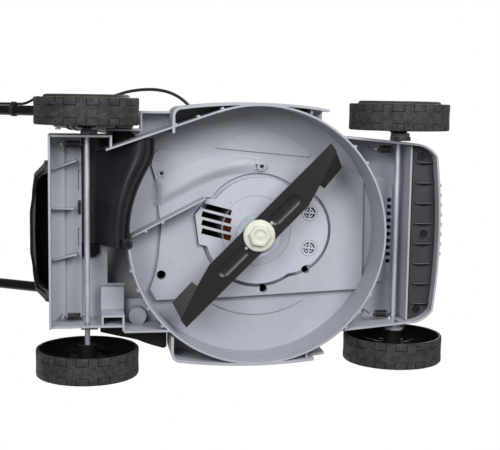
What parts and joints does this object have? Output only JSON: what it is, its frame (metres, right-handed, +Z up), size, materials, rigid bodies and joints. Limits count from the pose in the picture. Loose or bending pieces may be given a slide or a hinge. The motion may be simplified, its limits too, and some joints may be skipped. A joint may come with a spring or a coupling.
{
  "type": "cordless lawn mower",
  "caption": "Small battery rotary lawn mower: moulded deck with round blade chamber and rear chute, sliding axles, folding tube handle and hinged battery lid.",
  "frame": {"origin": "on the ground plane, straight under the blade spindle, with the mower standing on its wheels at the middle cutting height", "axes": "+X to the mower's front, +Y to the left of someone who stands behind it, +Z up along the blade spindle"},
  "size_m": [1.2924, 0.4245, 1.0142],
  "materials": {
    "black_plastic": "fine grained black moulding",
    "black_steel": "satin black powder coat",
    "cable_black": "cable sheath",
    "circuit_board": "solder mask",
    "contact_brass": "plated contact",
    "copper_wire": "enamelled copper wire",
    "core_steel": "laminated steel",
    "cream_nylon": "cream nylon",
    "moulded_grey": "smooth grey injection moulding",
    "orange_plastic": "orange moulding",
    "pale_grey": "smooth pale grey moulding",
    "red_plastic": "red moulding",
    "satin_black_plastic": "satin black moulding",
    "soft_grip": "soft foam-like grip",
    "spring_steel": "bare spring wire",
    "tread_plastic": "grained black tread",
    "zinc_steel": "zinc plated steel"
  },
  "bodies": {
    "deck_body": {"deck": "moulded_grey", "motor_mount": "pale_grey", "discharge_chute": "satin_black_plastic", "front_insert": "black_plastic", "front_insert_screws": "zinc_steel", "mount_screws": "zinc_steel", "vent_plugs": "pale_grey", "motor_cover": "black_plastic", "battery_rails": "black_plastic", "battery_terminals": "contact_brass", "control_board": "circuit_board", "motor_can": "zinc_steel", "motor_windings": "copper_wire", "spindle_bearing": "zinc_steel", "spring_rear_left": "spring_steel", "spring_rear_right": "spring_steel", "spring_front_left": "spring_steel", "spring_front_right": "spring_steel", "flap_pin": "zinc_steel", "lid_pin": "zinc_steel", "handle_bracket_left": "black_steel", "handle_bracket_right": "black_steel", "pivot_bolts": "zinc_steel", "deck_cable": "cable_black"},
    "rotor": {"rotor_shaft": "zinc_steel", "rotor_core": "core_steel", "blade_carrier": "zinc_steel", "blade": "black_steel", "blade_bolt": "cream_nylon"},
    "rear_axle_set": {"rear_axle": "zinc_steel", "rear_axle_bushes": "moulded_grey", "rear_axle_clips": "spring_steel"},
    "front_axle_set": {"front_axle": "zinc_steel", "front_axle_bushes": "moulded_grey", "front_axle_clips": "spring_steel"},
    "rear_left_wheel": {"wheel_rear_left": "tread_plastic", "hub_cap_rear_left": "black_plastic"},
    "rear_right_wheel": {"wheel_rear_right": "tread_plastic", "hub_cap_rear_right": "black_plastic"},
    "front_left_wheel": {"wheel_front_left": "tread_plastic", "hub_cap_front_left": "black_plastic"},
    "front_right_wheel": {"wheel_front_right": "tread_plastic", "hub_cap_front_right": "black_plastic"},
    "flap": {"rear_flap": "black_plastic"},
    "lid": {"battery_lid": "moulded_grey"},
    "battery": {"battery_pack": "black_plastic"},
    "key": {"safety_key": "red_plastic"},
    "lower_handle": {"lower_tube_left": "black_steel", "lower_tube_right": "black_steel", "lower_cable": "cable_black", "fold_cable": "cable_black"},
    "upper_handle_set": {"clamp_bolts": "zinc_steel", "upper_handle": "black_steel", "grip": "soft_grip", "switch_box": "satin_black_plastic", "handle_cable": "cable_black"},
    "left_knob": {"clamp_knob_left": "black_plastic"},
    "right_knob": {"clamp_knob_right": "black_plastic"},
    "bail": {"bail_lever": "zinc_steel"},
    "lock": {"lock_button": "orange_plastic"}
  },
  "joints": [
    {"name": "blade_spin", "type": "hinge", "parent": "deck_body", "child": "rotor", "pos_m": [0, 0, 0.06], "axis": [0, 0, 1], "continuous": true},
    {"name": "rear_height", "type": "slide", "parent": "deck_body", "child": "rear_axle_set", "axis": [0, 0, 1], "range_m": [-0.02, 0.02], "deforming": ["spring_rear_left", "spring_rear_right"]},
    {"name": "front_height", "type": "slide", "parent": "deck_body", "child": "front_axle_set", "axis": [0, 0, 1], "range_m": [-0.02, 0.02], "deforming": ["spring_front_left", "spring_front_right"]},
    {"name": "rear_left_roll", "type": "hinge", "parent": "rear_axle_set", "child": "rear_left_wheel", "pos_m": [-0.248, 0.1875, 0.075], "axis": [0, 1, 0], "continuous": true},
    {"name": "rear_right_roll", "type": "hinge", "parent": "rear_axle_set", "child": "rear_right_wheel", "pos_m": [-0.248, -0.1775, 0.075], "axis": [0, 1, 0], "continuous": true},
    {"name": "front_left_roll", "type": "hinge", "parent": "front_axle_set", "child": "front_left_wheel", "pos_m": [0.216, 0.1765, 0.075], "axis": [0, 1, 0], "continuous": true},
    {"name": "front_right_roll", "type": "hinge", "parent": "front_axle_set", "child": "front_right_wheel", "pos_m": [0.216, -0.1745, 0.075], "axis": [0, 1, 0], "continuous": true},
    {"name": "flap_hinge", "type": "hinge", "parent": "deck_body", "child": "flap", "pos_m": [-0.3075, 0, 0.184], "axis": [0, 1, 0], "range_deg": [0, 75], "stiffness_Nm_per_rad": 0.6, "springref_deg": -22.92},
    {"name": "lid_hinge", "type": "hinge", "parent": "deck_body", "child": "lid", "pos_m": [0.038, 0, 0.2215], "axis": [0, -1, 0], "range_deg": [0, 100]},
    {"name": "battery_lift", "type": "slide", "parent": "deck_body", "child": "battery", "axis": [0, 0, 1], "range_m": [0, 0.009]},
    {"name": "key_pull", "type": "slide", "parent": "deck_body", "child": "key", "axis": [0, 0, 1], "range_m": [0, 0.025]},
    {"name": "lower_fold", "type": "hinge", "parent": "deck_body", "child": "lower_handle", "pos_m": [-0.2, 0, 0.175], "axis": [0, 1, 0], "range_deg": [0, 100], "deforming": ["deck_cable"]},
    {"name": "upper_fold", "type": "hinge", "parent": "lower_handle", "child": "upper_handle_set", "pos_m": [-0.29982, 0, 0.55821], "axis": [0, -1, 0], "range_deg": [0, 70], "deforming": ["fold_cable"]},
    {"name": "left_knob_turn", "type": "hinge", "parent": "upper_handle_set", "child": "left_knob", "pos_m": [-0.29982, 0.188, 0.55821], "axis": [0, 1, 0], "continuous": true},
    {"name": "right_knob_turn", "type": "hinge", "parent": "upper_handle_set", "child": "right_knob", "pos_m": [-0.29982, -0.188, 0.55821], "axis": [0, 1, 0], "continuous": true},
    {"name": "bail_pull", "type": "hinge", "parent": "upper_handle_set", "child": "bail", "pos_m": [-0.90118, 0, 0.92847], "axis": [0, 1, 0], "range_deg": [0, 20], "stiffness_Nm_per_rad": 1, "springref_deg": -20.05},
    {"name": "lock_press", "type": "slide", "parent": "upper_handle_set", "child": "lock", "axis": [-0.5446, 0, -0.8387], "range_m": [0, 0.005], "stiffness_N_per_m": 300, "springref_m": -0.003}
  ]
}
